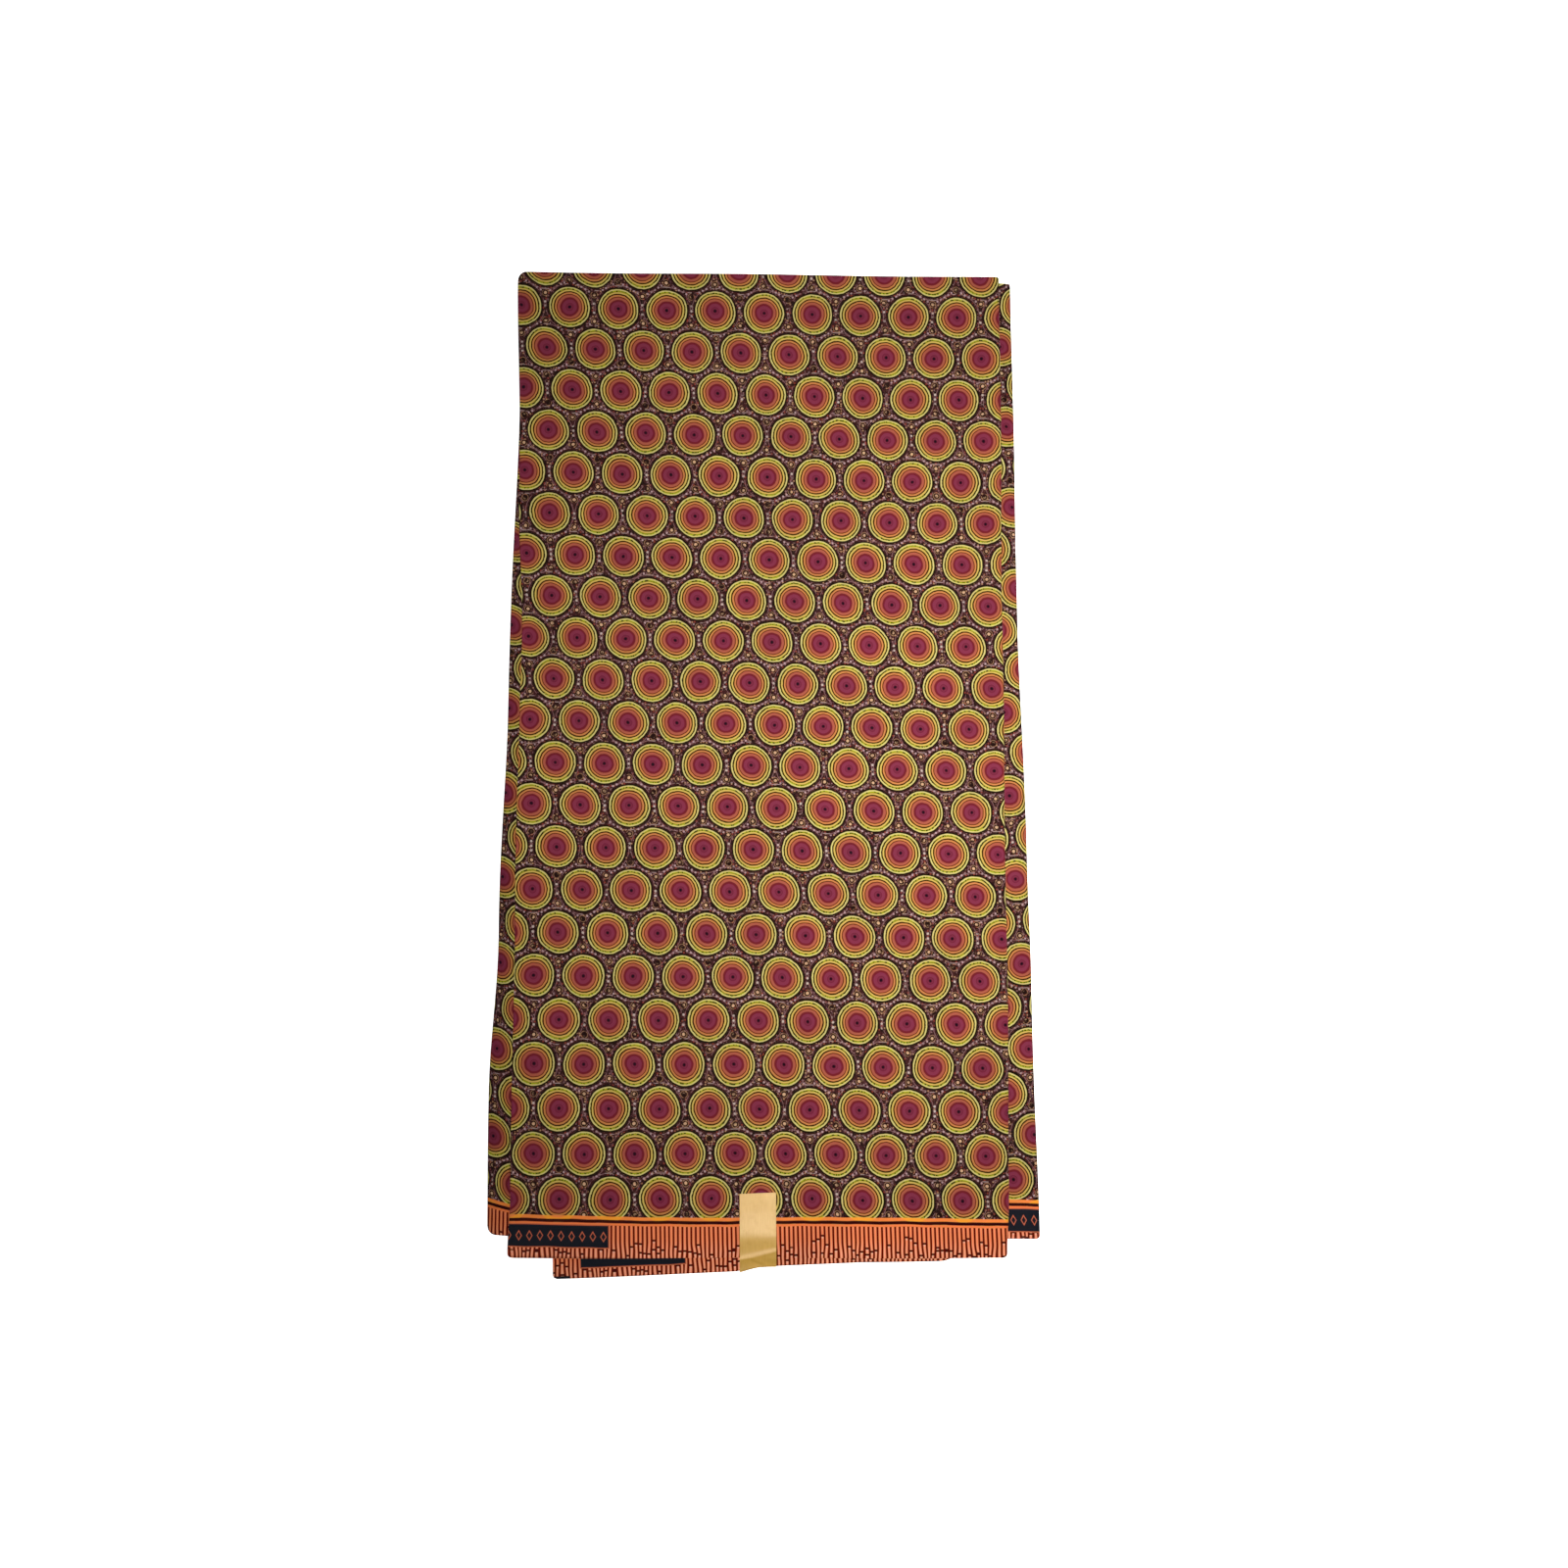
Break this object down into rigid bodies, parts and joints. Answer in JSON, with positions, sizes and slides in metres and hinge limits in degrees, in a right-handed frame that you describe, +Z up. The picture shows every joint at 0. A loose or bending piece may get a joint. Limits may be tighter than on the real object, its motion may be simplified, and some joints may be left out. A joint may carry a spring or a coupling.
{
  "type": "folded african wax print cloth",
  "caption": "Length of wax print cotton with a disc repeat and a striped selvedge, folded into a flat pack with a gold foil label.",
  "frame": {"origin": "middle of the pack's footprint, on the surface that it rests on", "axes": "+Y toward the crosswise fold, away from the selvedges; +Z up, out of the face that shows; +X toward the side where the third panel shows"},
  "size_m": [0.318, 0.5925, 0.0186],
  "materials": {
    "wax_print": "matt printed cotton with a slight wax sheen",
    "inner_layers": "matt printed cotton seen at its folds and selvedges",
    "gold_foil": "creased metallic foil on thin paper"
  },
  "bodies": {
    "root": {"front_leaf": "wax_print", "back_leaf": "wax_print", "second_panel": "wax_print", "third_panel": "wax_print", "folded_core": "inner_layers", "bottom_panel": "inner_layers", "foil_label": "gold_foil"}
  },
  "joints": []
}
